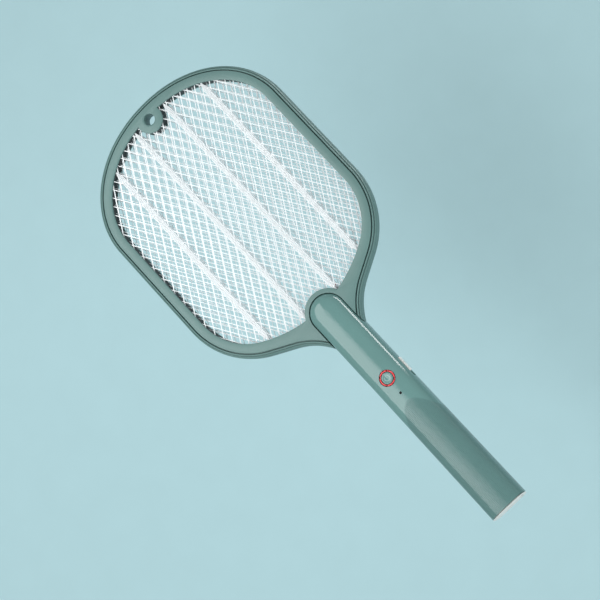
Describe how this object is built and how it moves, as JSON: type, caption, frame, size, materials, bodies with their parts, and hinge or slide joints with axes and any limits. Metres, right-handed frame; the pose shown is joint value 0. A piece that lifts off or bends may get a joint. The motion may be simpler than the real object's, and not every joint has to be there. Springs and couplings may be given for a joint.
{
  "type": "electric fly swatter",
  "caption": "Racket-shaped electric insect swatter: rounded frame with layered wire nets, straight handle with push button, side slide switch, charging inlet and hanging hole.",
  "frame": {"origin": "centre of the object's box, on the surface it lies on, with the back of the handle down", "axes": "+X across the head towards the side with the slide switch, +Y along the handle towards the tip of the head, +Z out of the front face"},
  "size_m": [0.1944, 0.4566, 0.0257],
  "materials": {
    "frame_plastic": "satin grey-green moulded plastic",
    "handle_plastic": "glossy grey-green moulded plastic, ribbed on the grip",
    "black_plastic": "matte black",
    "net_aluminium": "bright bare aluminium",
    "white_plastic": "satin off-white",
    "red_plastic": "red",
    "steel": "plated steel",
    "board": "green solder mask",
    "copper": "enamelled copper wire",
    "ferrite": "dark ferrite",
    "component_resin": "glossy dipped resin",
    "cell": "blue shrink sleeve over a metal can"
  },
  "bodies": {
    "racket": {"front_bezel": "frame_plastic", "rear_bezel": "frame_plastic", "front_rim": "frame_plastic", "rear_rim": "frame_plastic", "front_net_spacer": "black_plastic", "rear_net_spacer": "black_plastic", "front_net": "net_aluminium", "middle_net": "net_aluminium", "rear_net": "net_aluminium", "head_screw_1": "steel", "head_screw_2": "steel", "head_screw_3": "steel", "head_screw_4": "steel", "head_screw_5": "steel", "head_screw_6": "steel", "handle_front_cover": "handle_plastic", "handle_rear_cover": "handle_plastic", "handle_screw_1": "steel", "handle_screw_2": "steel", "end_cap": "white_plastic", "charge_socket": "steel", "charge_board": "board", "button_light_ring": "red_plastic", "tactile_switch": "black_plastic", "status_lens": "black_plastic", "status_led": "white_plastic", "slide_switch_body": "steel", "circuit_board": "board", "transformer_core": "ferrite", "transformer_coil": "copper", "storage_capacitor": "component_resin", "rectifier_diode_1": "black_plastic", "rectifier_diode_2": "black_plastic", "rectifier_diode_3": "black_plastic", "rectifier_diode_4": "black_plastic", "power_transistor": "black_plastic", "bleed_resistor": "component_resin", "charge_controller": "black_plastic", "battery_cell": "cell", "battery_tab_negative": "steel", "battery_tab_positive": "steel", "battery_lead_red": "red_plastic", "battery_lead_black": "black_plastic", "charge_lead": "red_plastic", "net_lead_red": "red_plastic", "net_lead_black": "black_plastic"},
    "button": {"power_button": "handle_plastic"},
    "slider": {"slide_switch_knob": "white_plastic", "slide_switch_lever": "black_plastic"}
  },
  "joints": [
    {"name": "button_press", "type": "slide", "parent": "racket", "child": "button", "axis": [0, 0, -1], "range_m": [0, 0.0008], "stiffness_N_per_m": 900},
    {"name": "power_slide", "type": "slide", "parent": "racket", "child": "slider", "axis": [0, -1, 0], "range_m": [0, 0.005]}
  ]
}
